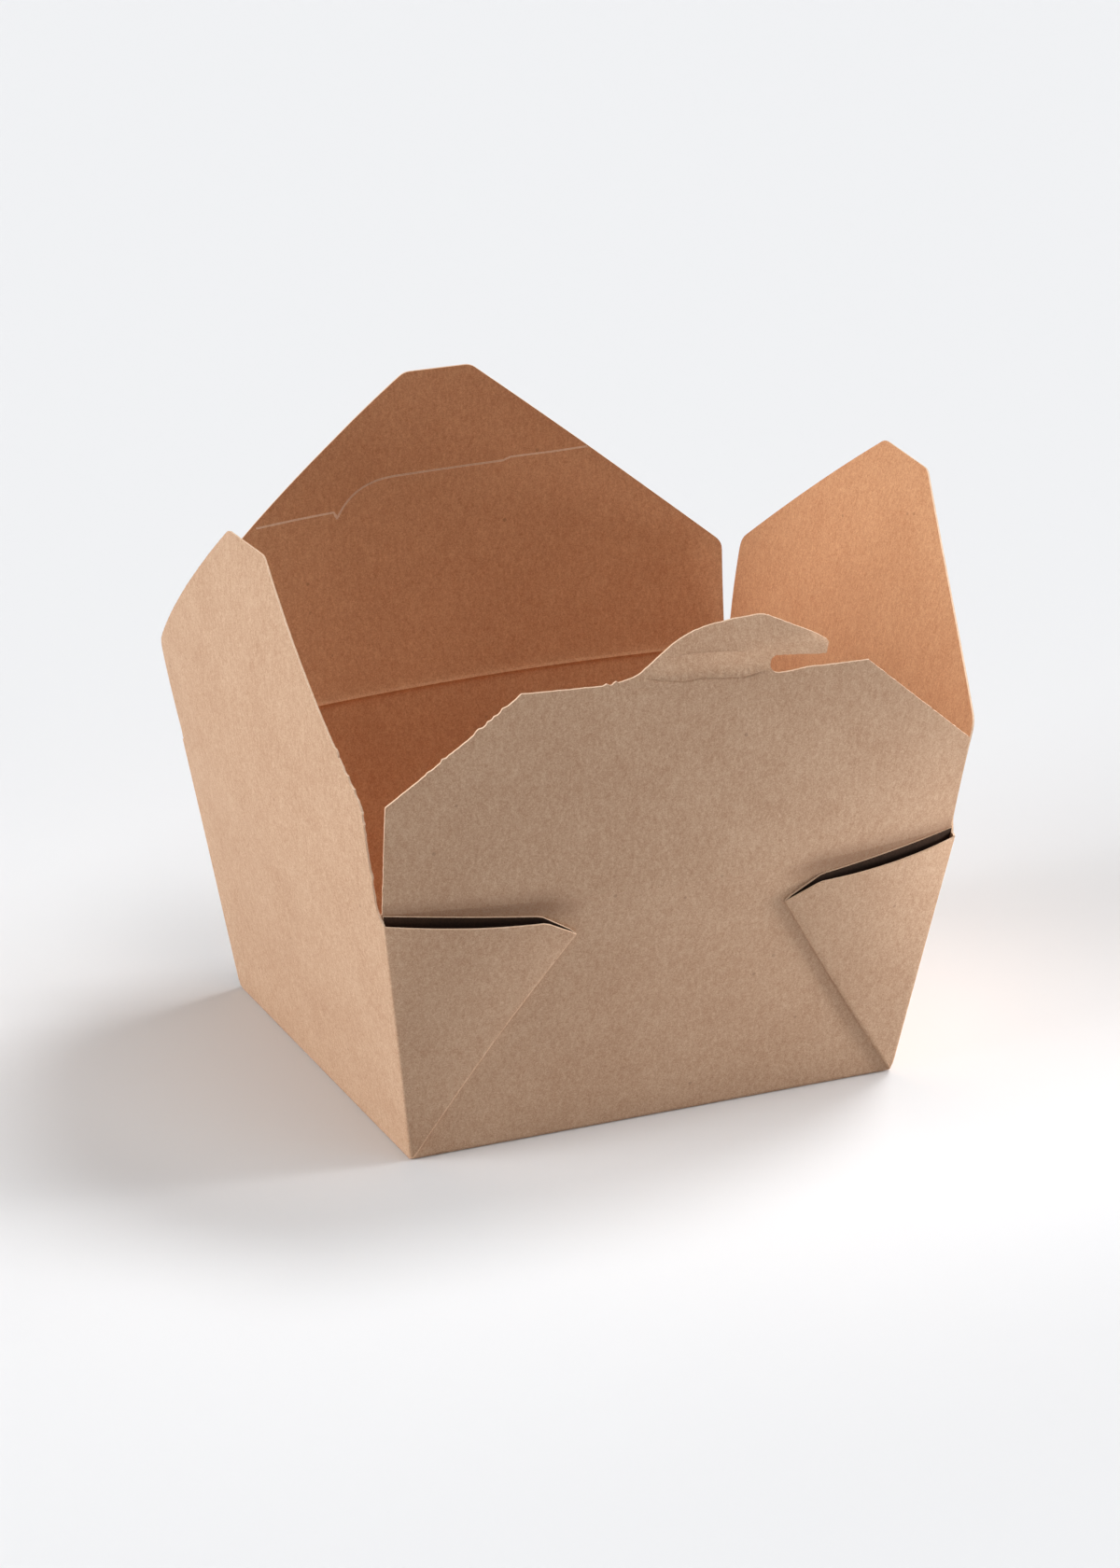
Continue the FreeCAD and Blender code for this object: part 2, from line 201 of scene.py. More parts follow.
class Side:
    """One wall and its flap. Across, outwards and up are its own axes, seen from outside.

    The rim bows out, more towards one side by its skew, and its ends rise. The flap leans, bends,
    curls and twists. Score and ridge are how deep its crease is pressed outside and inside."""

    def __init__(self, name, turn, sizes, bow, skew, rises, lean, bend, curl, twist, length,
                 flat_lean, score, ridge):
        self.name = name
        self.turn = math.radians(turn)
        self.base_half, self.rim_half, self.base_out, self.rim_out, self.crease = sizes
        self.bow, self.skew, self.rises = bow, skew, rises
        self.lean, self.bend, self.curl, self.twist = lean, bend, curl, twist
        self.length = length
        self.flat_lean = math.radians(flat_lean)
        self.score, self.ridge = score, ridge
        self.slant = math.hypot(self.rim_out - self.base_out, self.crease - BOARD / 2)

    def bow_at(self, share):
        share = np.clip(share, -1, 1)
        return self.bow * (1 - share * share) * (1 + self.skew * share)

    def rise_at(self, share):
        return self.rises[0] * (1 - share) / 2 + self.rises[1] * (1 + share) / 2

    def half_at(self, height):
        """Half the wall's width, at a height along it from the crease, which is below 0."""
        return self.base_half + (self.rim_half - self.base_half) * (1 + height / self.slant)

    def flap(self, across, run):
        share = across / self.rim_half
        along = run[..., None] * GAUSS_AT
        lean = self.lean + self.twist * share[..., None] / 2 + self.bend * along / BEND_RUN
        lean = np.radians(lean + self.curl * (along / self.length) ** 2)
        out = self.rim_out + run * (np.sin(lean) @ GAUSS_WEIGHT)
        out = out + self.bow_at(share) * (1 - run / self.length)
        risen = self.rise_at(share) * (1 + smooth(run / RISE_RUN)) / 2
        return out, self.crease + risen + run * (np.cos(lean) @ GAUSS_WEIGHT)

    def wall(self, across, height):
        t = 1 + height / self.slant
        share = across / self.half_at(height)
        out = self.base_out + (self.rim_out - self.base_out) * t
        out = out + self.bow_at(share) * np.maximum(t, 0) ** BOW_FADE
        top = self.crease + self.rise_at(share) / 2
        return out, BOARD / 2 + (top - BOARD / 2) * t

    def middle(self, across, height):
        """The middle of the board, at a height along it from the crease. The wall is below 0."""
        across, height = np.broadcast_arrays(np.asarray(across, float), np.asarray(height, float))
        flap_out, flap_up = self.flap(across, np.maximum(height, 0))
        wall_out, wall_up = self.wall(across, np.minimum(height, 0))
        on_flap = height > 0
        return self.world(across, np.where(on_flap, flap_out, wall_out), np.where(on_flap, flap_up, wall_up))

    def world(self, across, out, up):
        c, s = math.cos(self.turn), math.sin(self.turn)
        return np.stack([c * across + s * out, s * across - c * out, up + 0 * across], axis=-1)

    def direction(self, across, out, up):
        return Vector(self.world(np.float64(across), np.float64(out), np.float64(up)))

    def hinge(self):
        return self.direction(0, self.rim_out, self.crease) * MM


FRONT = Side("front", 0, FRONT_WALL, bow=9.0, skew=0.17, rises=(2.7, -1.6),
             lean=12.0, bend=0.4, curl=0.7, twist=7.0, length=68.0, flat_lean=12.4, score=-0.2, ridge=-0.12)
BACK = Side("back", 180, FRONT_WALL, bow=6.3, skew=-0.13, rises=(2.1, -0.7),
            lean=20.9, bend=-11.4, curl=-0.4, twist=18.8, length=81.0, flat_lean=11.5, score=0.3, ridge=0.42)
RIGHT = Side("right", 90, SIDE_WALL, bow=2.7, skew=0.0, rises=(-1.1, 4.0),
             lean=7.1, bend=8.5, curl=3.0, twist=-5.6, length=72.0, flat_lean=8.5, score=0.06, ridge=0.12)
LEFT = Side("left", -90, SIDE_WALL, bow=4.2, skew=-0.29, rises=(0.9, 2.8),
            lean=12.9, bend=-7.7, curl=-3.9, twist=-4.2, length=72.0, flat_lean=3.0, score=0.06, ridge=0.12)


def normals_of(surface, across, height, step=0.25):
    """Unit normals of a surface, out of the box."""
    along = surface(across + step, height) - surface(across - step, height)
    up = surface(across, height + step) - surface(across, height - step)
    return unit(np.cross(along, up))


def thick_mesh(name, outer, inner, faces, materials, torn=None):
    """A closed mesh of board from its two faces' points and the faces between the points."""
    count = len(outer)
    used = dict.fromkeys((a, b) for face in faces for a, b in zip(face, face[1:] + face[:1]))
    rim = [(a, b) for a, b in used if (b, a) not in used]
    quads = [(b, a, a + count, b + count) for a, b in rim]
    back = [tuple(v + count for v in reversed(face)) for face in faces]
    mesh = bpy.data.meshes.new(name)
    mesh.from_pydata([tuple(p) for p in np.vstack([outer, inner]) * MM], [], faces + back + quads)
    bare = [False] * len(back) if torn is None else torn
    index = [OUTER_SLOT] * len(faces)
    index += [EDGE_SLOT if shows else INNER_SLOT for shows in bare]
    index += [EDGE_SLOT] * len(quads)
    mesh.polygons.foreach_set("material_index", index)
    mesh.polygons.foreach_set("use_smooth", [True] * len(index))
    mesh.set_sharp_from_angle(angle=math.radians(SHARP_ANGLE))
    for material in materials:
        mesh.materials.append(material)
    mesh.update()
    piece = bpy.data.objects.new(name, mesh)
    bpy.context.scene.collection.objects.link(piece)
    return piece


def inside(points, outline):
    """Which points are inside a closed outline."""
    x, y = points[:, 0:1], points[:, 1:2]
    x0, y0 = outline[:, 0], outline[:, 1]
    x1, y1 = np.roll(x0, -1), np.roll(y0, -1)
    crosses = (y0 > y) != (y1 > y)
    rise = np.where(y1 == y0, 1, y1 - y0)
    left = x < (x1 - x0) * (y - y0) / rise + x0
    return (crosses & left).sum(axis=1) % 2 == 1


def distance(points, line, closed=False):
    """How far points are from a line through other points."""
    start = line if closed else line[:-1]
    end = np.roll(line, -1, axis=0) if closed else line[1:]
    along = end - start
    length = np.maximum((along ** 2).sum(axis=1), 1e-12)
    offset = points[:, None, :] - start[None, :, :]
    t = np.clip((offset * along).sum(axis=2) / length, 0, 1)
    return np.sqrt(((offset - t[..., None] * along) ** 2).sum(axis=2)).min(axis=1)


def resample(line, step, closed=False):
    """The same line with points at even steps. Its corners stay."""
    line = [np.array(p, float) for p in line]
    ends = line[1:] + (line[:1] if closed else [])
    points = []
    for a, b in zip(line, ends):
        parts = max(1, math.ceil(np.linalg.norm(b - a) / step))
        points += [a + (b - a) * k / parts for k in range(parts)]
    if not closed:
        points.append(line[-1])
    return np.array(points)


def rounded(points, radii, parts=5):
    """A closed outline with each corner rounded by its radius, or left sharp at 0."""
    made = []
    for k, (point, radius) in enumerate(zip(points, radii)):
        here = np.array(point, float)
        to_last = unit(np.array(points[k - 1], float) - here)
        to_next = unit(np.array(points[(k + 1) % len(points)], float) - here)
        if radius == 0:
            made.append(here)
            continue
        start, end = here + to_last * radius, here + to_next * radius
        for t in np.linspace(0, 1, parts + 1):
            made.append((1 - t) ** 2 * start + 2 * t * (1 - t) * here + t * t * end)
    return made


def mirrored(right, radii):
    """A closed outline from its right half, which runs from the root to the tip."""
    left = [(-x, y) for x, y in reversed(right)]
    return rounded(left + right, radii[::-1] + radii)


def spline(points, parts=6):
    """A smooth line through points."""
    points = [np.array(p, float) for p in points]
    padded = [2 * points[0] - points[1]] + points + [2 * points[-1] - points[-2]]
    made = []
    for a, b, c, d in zip(padded, padded[1:], padded[2:], padded[3:]):
        for t in np.linspace(0, 1, parts, endpoint=False):
            made.append(0.5 * (2 * b + (c - a) * t + (2 * a - 5 * b + 4 * c - d) * t ** 2
                               + (3 * b - a - 3 * c + d) * t ** 3))
    made.append(points[-1])
    return made


class Groove:
    """A pressed or crumpled line on a board. Depth is inwards at the outer face, inner at the inner one."""

    def __init__(self, line, depth, width, inner=None, tapered=True):
        self.line = resample(line, LINE_STEP)
        self.depth, self.width, self.tapered = depth, width, tapered
        self.inner = depth if inner is None else inner

    def share(self, points):
        made = bump(distance(points, self.line), self.width)
        if self.tapered:
            ends = np.minimum(np.linalg.norm(points - self.line[0], axis=1),
                              np.linalg.norm(points - self.line[-1], axis=1))
            made = made * smooth(ends / TAPER)
        return made

    def rows(self, sides=3, gap_share=0.6):
        """Rows of points along the line and on both sides of it, so that the mesh can follow it."""
        across = left_of(unit(np.gradient(self.line, axis=0)))
        offsets = [k * self.width * gap_share for k in range(-sides, sides + 1)]
        return np.vstack([self.line + across * offset for offset in offsets])


def guide(line, width):
    """A line that presses nothing and only gives the mesh its points."""
    return Groove(line, 0, width, tapered=False)


def lattice(outline):
    low, high = outline.min(axis=0), outline.max(axis=0)
    made = []
    for k, y in enumerate(np.arange(low[1], high[1], SPACING * ROW_SHARE)):
        start = low[0] + (SPACING / 2 if k % 2 else 0)
        made += [(x, y) for x in np.arange(start, high[0], SPACING)]
    return np.array(made)


def inner_points(edge, cuts, lines):
    """Points inside an edge and outside its cuts: the lines' own rows, and an even spread elsewhere."""
    rows = np.vstack([line.rows() for line in lines]) if lines else np.zeros((0, 2))
    points = np.vstack([rows, lattice(edge)])
    keep = inside(points, edge) & (distance(points, edge, closed=True) > EDGE_CLEAR)
    for cut in cuts:
        keep &= ~inside(points, cut) & (distance(points, cut, closed=True) > CUT_CLEAR)
    count = int(keep[:len(rows)].sum())
    points = points[keep]
    if count == 0:
        return points
    tree = KDTree(count)
    for k in range(count):
        tree.insert((points[k][0], points[k][1], 0), k)
    tree.balance()
    far = [k for k in range(len(points))
           if k < count or tree.find((points[k][0], points[k][1], 0))[2] > LINE_CLEAR]
    return points[far]


def centres_of(points, faces):
    return np.array([points[list(face)].mean(axis=0) for face in faces])


def triangles(edge, cuts, filled):
    """The points and the faces of a flat sheet between its edge and its cuts."""
    loops = [edge] + cuts
    edges, start = [], 0
    for loop in loops:
        edges += [(start + k, start + (k + 1) % len(loop)) for k in range(len(loop))]
        start += len(loop)
    flat = [Vector(p) for p in np.vstack(loops + [filled])]
    points, _, faces, *_ = delaunay_2d_cdt(flat, edges, [], 0, 1e-5)
    points = np.array([tuple(p) for p in points])
    centres = centres_of(points, faces)
    good = inside(centres, edge)
    for cut in cuts:
        good &= ~inside(centres, cut)
    faces = [face for face, kept in zip(faces, good) if kept]
    used = sorted(set(v for face in faces for v in face))
    place = {v: k for k, v in enumerate(used)}
    return points[used], [tuple(place[v] for v in face) for face in faces]


def card(name, outline, surface, materials, grooves=(), holes=(), swell=None, tears=()):
    """A sheet of board: a flat outline carried onto a curved surface.
    Along the tears, the lighter fibres inside the board show on its inner face."""
    edge = resample(outline, EDGE_STEP, closed=True)
    cuts = [resample(hole, CUT_STEP, closed=True) for hole in holes]
    flat, faces = triangles(edge, cuts, inner_points(edge, cuts, list(grooves) + list(tears)))
    across, height = flat[:, 0], flat[:, 1]
    middle = surface(across, height)
    normal = normals_of(surface, across, height)
    if swell:
        middle = middle + normal * swell(across, height)[:, None]
    sunk, sunk_inside = np.zeros(len(flat)), np.zeros(len(flat))
    for groove in grooves:
        share = groove.share(flat)
        sunk += groove.depth * share
        sunk_inside += groove.inner * share
    outer = middle + normal * (BOARD / 2 - sunk)[:, None]
    inner = middle - normal * (BOARD / 2 + sunk_inside)[:, None]
    centres = centres_of(flat, faces)
    torn = np.zeros(len(faces), bool)
    for tear in tears:
        torn |= distance(centres, tear.line) < tear.width * TEAR_SHARE
    return thick_mesh(name, outer, inner, faces, materials, torn)


def grid(name, middle, materials, painted_shadow_columns):
    """A sheet of board from rows of points of its middle. The inner faces of the columns in the given range
    get the painted shadow of the pockets.
    """
    rows, columns = middle.shape[:2]
    normal = unit(np.cross(np.gradient(middle, axis=1), np.gradient(middle, axis=0)))
    outer = (middle + normal * BOARD / 2).reshape(-1, 3)
    inner = (middle - normal * BOARD / 2).reshape(-1, 3)
    starts = [r * columns + c for r in range(rows - 1) for c in range(columns - 1)]
    faces = [(k, k + 1, k + columns + 1, k + columns) for k in starts]
    made = thick_mesh(name, outer, inner, faces, materials)
    inner_faces = made.data.polygons[len(faces):2 * len(faces)]
    for polygon, start in zip(inner_faces, starts):
        # Painted shadow: these inner faces take the near-black pocket colour in place of the inside board.
        if painted_shadow_columns[0] <= start % columns < painted_shadow_columns[1]:
            polygon.material_index = PAINTED_SHADOW_SLOT
    return made


def colour(red, green, blue):
    """A screen colour as Blender's linear one, by the sRGB formula."""
    def linear(value):
        value = value / 255
        return value / 12.92 if value <= 0.04045 else ((value + 0.055) / 1.055) ** 2.4
    return linear(red), linear(green), linear(blue), 1.0


def kraft(name, light, dark, speck, roughness):
    """Uncoated board: cloudy tone, short fibres, a few specks and a fine tooth, and painted shade where a
    mesh carries the shade attribute.
    """
    material = bpy.data.materials.new(name)
    material.use_nodes = True
    nodes, links = material.node_tree.nodes, material.node_tree.links
    shader = nodes["Principled BSDF"]
    shader.inputs["Roughness"].default_value = roughness
    shader.inputs["Specular IOR Level"].default_value = BOARD_SPECULAR
    where = nodes.new("ShaderNodeTexCoord")

    def noise(scale, detail, roughness=0.6, distortion=0.0, stretch=(1, 1, 1)):
        mapping = nodes.new("ShaderNodeMapping")
        mapping.inputs["Scale"].default_value = stretch
        texture = nodes.new("ShaderNodeTexNoise")
        texture.inputs["Scale"].default_value = scale
        texture.inputs["Detail"].default_value = detail
        texture.inputs["Roughness"].default_value = roughness
        texture.inputs["Distortion"].default_value = distortion
        links.new(where.outputs["Object"], mapping.inputs["Vector"])
        links.new(mapping.outputs["Vector"], texture.inputs["Vector"])
        return texture.outputs["Fac"]

    def maths(operation, first, second):
        node = nodes.new("ShaderNodeMath")
        node.operation = operation
        for socket, value in zip(node.inputs, (first, second)):
            if isinstance(value, (int, float)):
                socket.default_value = value
            else:
                links.new(value, socket)
        return node.outputs["Value"]

    def mixed(share, first, second):
        """The first colour with a share of the second, which is constant."""
        node = nodes.new("ShaderNodeMix")
        node.data_type = "RGBA"
        links.new(share, node.inputs["Factor"])
        links.new(first, node.inputs["A"])
        node.inputs["B"].default_value = second
        return node.outputs["Result"]

    tone = None
    for layer, share in TONE:
        part = maths("MULTIPLY", noise(**layer), share)
        tone = part if tone is None else maths("ADD", tone, part)
    ramp = nodes.new("ShaderNodeValToRGB")
    for stop, position, shade in zip(ramp.color_ramp.elements, (TONE_LOW, TONE_HIGH), (dark, light)):
        stop.position = position
        stop.color = colour(*shade)
    links.new(tone, ramp.inputs["Fac"])

    cells = nodes.new("ShaderNodeTexVoronoi")
    cells.inputs["Scale"].default_value = SPECK_SCALE
    links.new(where.outputs["Object"], cells.inputs["Vector"])
    chosen = nodes.new("ShaderNodeSeparateColor")
    links.new(cells.outputs["Color"], chosen.inputs["Color"])
    rare = maths("GREATER_THAN", chosen.outputs["Red"], SPECK_RARE)
    small = maths("LESS_THAN", cells.outputs["Distance"], SPECK_SIZE)
    spots = maths("MULTIPLY", maths("MULTIPLY", rare, small), SPECK_STRENGTH)
    speckled = mixed(spots, ramp.outputs["Color"], colour(*speck))
    # Painted shade: the shade attribute mixes the colour towards the speck colour beside the pockets.
    painted_shade_beside_pockets = nodes.new("ShaderNodeAttribute")
    painted_shade_beside_pockets.attribute_name = "shade"
    links.new(mixed(painted_shade_beside_pockets.outputs["Fac"], speckled, colour(*speck)), shader.inputs["Base Color"])

    tooth = nodes.new("ShaderNodeBump")
    tooth.inputs["Strength"].default_value = TOOTH_STRENGTH
    tooth.inputs["Distance"].default_value = TOOTH_DEPTH * MM
    links.new(noise(**TOOTH), tooth.inputs["Height"])
    links.new(tooth.outputs["Normal"], shader.inputs["Normal"])
    return material


def held(piece, anchor):
    """The piece gets its own copy of its mesh."""
    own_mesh(piece)


def crease_groove(side, half):
    """A side's crease, as a pressed line that runs past both ends."""
    past_end = half + 2
    return Groove([(-past_end, 0), (past_end, 0)], side.score, CREASE_WIDTH, inner=side.ridge, tapered=False)


def wall(side, materials):
    """One wall, from the fold at the base up to its flap's crease."""
    is_side = side in (LEFT, RIGHT)
    inset = CORNER_ROUND if is_side else WALL_INSET
    low = WALL_START - side.slant
    low_half, high_half = side.half_at(low) - inset, side.half_at(0) - inset
    outline = [(-low_half, low), (low_half, low), (high_half, 0), (-high_half, 0)]
    made = card(side.name + "_wall", outline, side.middle, materials, [crease_groove(side, high_half)])
    if not is_side:
        # Painted shade beside the pockets, on the wall.
        paint_shade_beside_pockets(made, side)
    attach(made, "tray")
    normal = side.direction(0, side.crease - BOARD / 2, side.base_out - side.rim_out)
    held(made, side.hinge())
    return made


def paint_shade_beside_pockets(piece, side):
    """Painted shade: the outside of the board is darkened in its colour where it meets the open pockets of
    the web corners.
    """
    mesh = piece.data
    outer_face = list(mesh.vertices)[:len(mesh.vertices) // 2]
    shade = mesh.attributes.new("shade", "FLOAT", "POINT")
    start = np.array(side.hinge()) / MM
    along = np.array(side.direction(1, 0, 0))
    for vertex, value in zip(outer_face, shade.data):
        place = np.array(vertex.co) / MM - start
        across = place @ along
        lower = POCKET_BELOW + POCKET_DROP * float(smooth((POCKET_FULL - abs(across)) / POCKET_DROP_RUN))
        line = side.rise_at(across / side.rim_half) / 2 - lower
        reach = float(smooth((abs(across) - POCKET_TIP) / (POCKET_FULL - POCKET_TIP)))
        value.value = POCKET_SHADE * reach * float(bump(place[2] - line, POCKET_REACH))


def flap(side, outline, materials, grooves=(), holes=(), swell=None, tears=()):
    """One closing flap, from its crease."""
    grooves = [crease_groove(side, side.rim_half)] + list(grooves)
    made = card(side.name + "_flap_card", outline, side.middle, materials, grooves, holes, swell, tears)
    if side in (FRONT, BACK):
        # Painted shade beside the pockets, on the flap.
        paint_shade_beside_pockets(made, side)
    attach(made, side.name + "_flap")
    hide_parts(side.name + "_flap")
    normal = side.direction(0, math.cos(side.flat_lean), -math.sin(side.flat_lean))
    held(made, side.hinge())
    return made


def side_outline():
    shoulder, tip = (SIDE_SHOULDER, SIDE_SHOULDER_UP), (SIDE_TIP, LEFT.length)
    return mirrored([(SIDE_ROOT, 0), (SIDE_WAIST, SIDE_WAIST_UP), shoulder, tip], [0, 1, 2.5, 1.5])


def worn(outline, places, size):
    """An outline with torn fibres along some stretches of it."""
    line = resample(outline, WORN_STEP, closed=True)
    out = -left_of(unit(np.roll(line, -1, axis=0) - np.roll(line, 1, axis=0)))
    torn = np.zeros(len(line))
    for stretch in places:
        near = distance(line, np.array(stretch, float)) < WORN_REACH
        torn += near * np.maximum(rng.normal(0, 1, len(line)), 0) ** 2
    above_root = line[:, 1] > 1
    fine = rng.normal(0, EDGE_FUZZ, len(line)) * above_root
    return line + out * (fine + size * np.clip(torn, 0, WORN_MOST))[:, None]


def front_flap_outline():
    """A low trapezium with the hooked tab: its long sweep, its nose and the slot under it."""
    sweep = spline([(20.0, 63.0), (17.2, 63.7), (7.6, 63.5), (0.9, 62.6), (-4.3, 60.8), (-8.4, 58.5),
                    (-11.9, 56.4), (-15.5, 54.5), (-21.3, 53.1)])
    slot = spline([(26.8, 52.8), (21.5, 52.2), (19.0, 52.4), (18.0, 53.8), (19.8, 55.1), (23.8, 55.0)])
    nose = rounded([slot[-1], (32.6, 54.5), (34.7, 55.9), sweep[0]], [0, 0.5, 0.5, 0])
    right = [(FRONT_ROOT, 0), (FRONT_SHOULDER, FRONT_SHOULDER_UP), (FRONT_TOP, 52.9)]
    left = [(-FRONT_TOP, 53.0), (-FRONT_SHOULDER, FRONT_SHOULDER_UP), (-FRONT_ROOT, 0)]
    return right + slot + nose[1:-1] + sweep + left


def tab_bend(across, height):
    """The tab is bent back a little at its root, and turned back towards its hook."""
    over = height - TAB_ROOT
    bent = slope(TAB_BEND) * past(over, TAB_SOFT)
    turned = slope(TAB_TURN) * np.maximum(across - TAB_SIDE, 0) * smooth(over / TAB_TURN_RUN)
    return -bent - turned


def back_flap_outline():
    shoulder, tip = (BACK_SHOULDER, BACK_SHOULDER_UP), (BACK_TIP, BACK.length)
    return mirrored([(BACK_ROOT, 0), shoulder, tip], [0, 2, 1.5])


def slit_line():
    """The curled slit that takes the tab. Its x runs the other way, seen from outside."""
    seen = [(-25.8, 45.5), (-23.6, 48.5), (-21, 50.9), (-17.5, 52.7), (-12.9, 53.7), (-4, 53.8), (17, 53.7)]
    return np.array(spline([(-x, y) for x, y in seen], 3))


def slit_hole():
    line = slit_line()
    across = left_of(unit(np.gradient(line, axis=0))) * SLIT_WIDTH / 2
    return list(line + across) + list((line - across)[::-1])


def back_bend(across, height):
    """Above the slit and its folds, the back flap leans in a little more."""
    fold = np.interp(across, [12.9, 21.0, 25.8], [54.0, 50.9, 47.4])
    return -slope(BACK_BEND) * past(height - fold, BACK_SOFT)


def top_line(front, rise, top, shoulder_drop, inset):
    """The top edge of one layer of a web corner, from its tip to the corner of the box."""
    corner = front.half_at(top - front.slant) - inset
    return np.array([TIP] + rise + [(SHOULDER, top - shoulder_drop), (corner, top)])


def fan(front, top, r, a):
    """Points from the foot of a web corner, where r is 0, to its top line, where r is 1.
    Along both, a is 0 at the fold and 1 at the corner."""
    low = (front.half_at(WALL_START - front.slant) - CORNER_ROUND, WALL_START)
    start = np.stack([FOOT[0] + (low[0] - FOOT[0]) * a, FOOT[1] + (low[1] - FOOT[1]) * a], axis=-1)
    runs = np.concatenate([[0], np.cumsum(np.linalg.norm(np.diff(top, axis=0), axis=1))])
    at = a * runs[-1]
    end = np.stack([np.interp(at, runs, top[:, 0]), np.interp(at, runs, top[:, 1])], axis=-1)
    return start + (end - start) * r[..., None]


def corner_outs(front, beside):
    """How far a corner of the box stands out from the front wall's middle, at the base and the rim."""
    return beside.base_half - front.base_out, beside.rim_half - front.rim_out


def web_layers(front, beside, end):
    """A web corner as flat points, from the inner layer round the fold to the outer one.
    With them is how far each point stands off the wall."""
    crease_up = front.crease + front.rise_at(float(end)) / 2
    side_up = beside.crease + beside.rise_at(float(-end)) / 2
    outer_top = front.slant * (side_up - OUTER_TOP_DROP) / crease_up
    inner_top = front.slant - INNER_TOP_DROP
    outer_line = top_line(front, OUTER_RISE, outer_top, OUTER_SHOULDER_DROP, CORNER_ROUND)
    inner_line = top_line(front, INNER_RISE, inner_top, INNER_SHOULDER_DROP, INNER_INSET)

    rows = np.linspace(0, 1, WEB_ROWS)[:, None]
    r, a = np.broadcast_arrays(rows, np.linspace(1, 0, LAYER_COLUMNS)[None, :])
    flat_in = fan(front, inner_line, r, a)
    gap_in = LAYER_GAP * (FOOT_GAP_SHARE + (1 - FOOT_GAP_SHARE) * smooth(r * 4))

    r, a = np.broadcast_arrays(rows, np.linspace(0, 1, LAYER_COLUMNS)[None, :])
    flat_out = fan(front, outer_line, r, a)
    low_out, high_out = corner_outs(front, beside)
    at_fold = gap_in[:, -1:] + 2 * FOLD_ROLL
    at_corner = low_out + (high_out - low_out) * np.clip(flat_out[:, -1:, 1] / front.slant, 0, 1)
    sprung = WEB_SPRING * 4 * a * (1 - a) * smooth(r) ** 2
    gap_out = at_fold * (1 - a) + at_corner * a + sprung

    turn = np.linspace(0, math.pi, ROLL_PARTS + 1)[1:-1][None, :]
    across = left_of(unit(np.array([TIP]) - np.array([FOOT])))
    flat_roll = flat_in[:, -1:, :] + across * (FOLD_ROLL * np.sin(turn) * np.ones_like(rows))[..., None]
    gap_roll = gap_in[:, -1:] + FOLD_ROLL * (1 - np.cos(turn))
    flat = np.concatenate([flat_in, flat_roll, flat_out], axis=1)
    return flat, np.concatenate([gap_in, gap_roll, gap_out], axis=1)


def corner_arc(sheet, beside, beside_end):
    """The rounded corner of the box, from the outer layer's last column to the wall beside it."""
    heights = np.linspace(WALL_START, beside.slant, WEB_ROWS) - beside.slant
    halves = beside.half_at(heights) - CORNER_ROUND
    arrive = beside.middle(halves * beside_end, heights)
    leave = sheet[:, -1]
    pull = CORNER_PULL * np.linalg.norm(arrive - leave, axis=-1, keepdims=True)
    leave_pull = leave + unit(leave - sheet[:, -2]) * pull
    arrive_pull = arrive + unit(arrive - beside.middle((halves - 1) * beside_end, heights)) * pull
    arc = [(1 - t) ** 3 * leave + 3 * t * (1 - t) ** 2 * leave_pull
           + 3 * t * t * (1 - t) * arrive_pull + t ** 3 * arrive
           for t in np.linspace(0, 1, ARC_PARTS + 1)[1:]]
    return np.stack(arc, axis=1)


def web(front, end, materials):
    """One folded web corner on the front or back wall, at its left (-1) or right (1) end."""
    turns = {(FRONT, -1): LEFT, (FRONT, 1): RIGHT, (BACK, -1): RIGHT, (BACK, 1): LEFT}
    beside = turns[(front, end)]
    flat, gap = web_layers(front, beside, end)
    across, height = flat[..., 0] * end, flat[..., 1] - front.slant
    over = np.maximum(height, 0)[..., None] * np.array([0, 0, 1.0])
    normal = normals_of(front.middle, across, np.minimum(height, -INNER_TOP_DROP))
    sheet = front.middle(across, np.minimum(height, 0)) + over + normal * gap[..., None]
    sheet = np.concatenate([sheet, corner_arc(sheet, beside, -end)], axis=1)
    # The columns that take the painted shadow inside the pockets; the arc and the last columns are left out.
    columns, lit = sheet.shape[1], ARC_PARTS + LIT_COLUMNS
    painted_pocket_shadow = (0, columns - lit)
    if end < 0:
        sheet = sheet[:, ::-1]
        painted_pocket_shadow = (lit, columns)
    made = grid(f"{front.name}_web_{'left' if end < 0 else 'right'}", sheet, materials, painted_pocket_shadow)
    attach(made, "tray")
    low_out, high_out = corner_outs(front, beside)
    rise_out = front.rim_out + high_out - front.base_out - low_out
    normal = front.direction(0, front.crease - BOARD / 2, -rise_out)
    anchor = front.direction(0, front.base_out + low_out, BOARD / 2) * MM
    held(made, anchor)
    return made


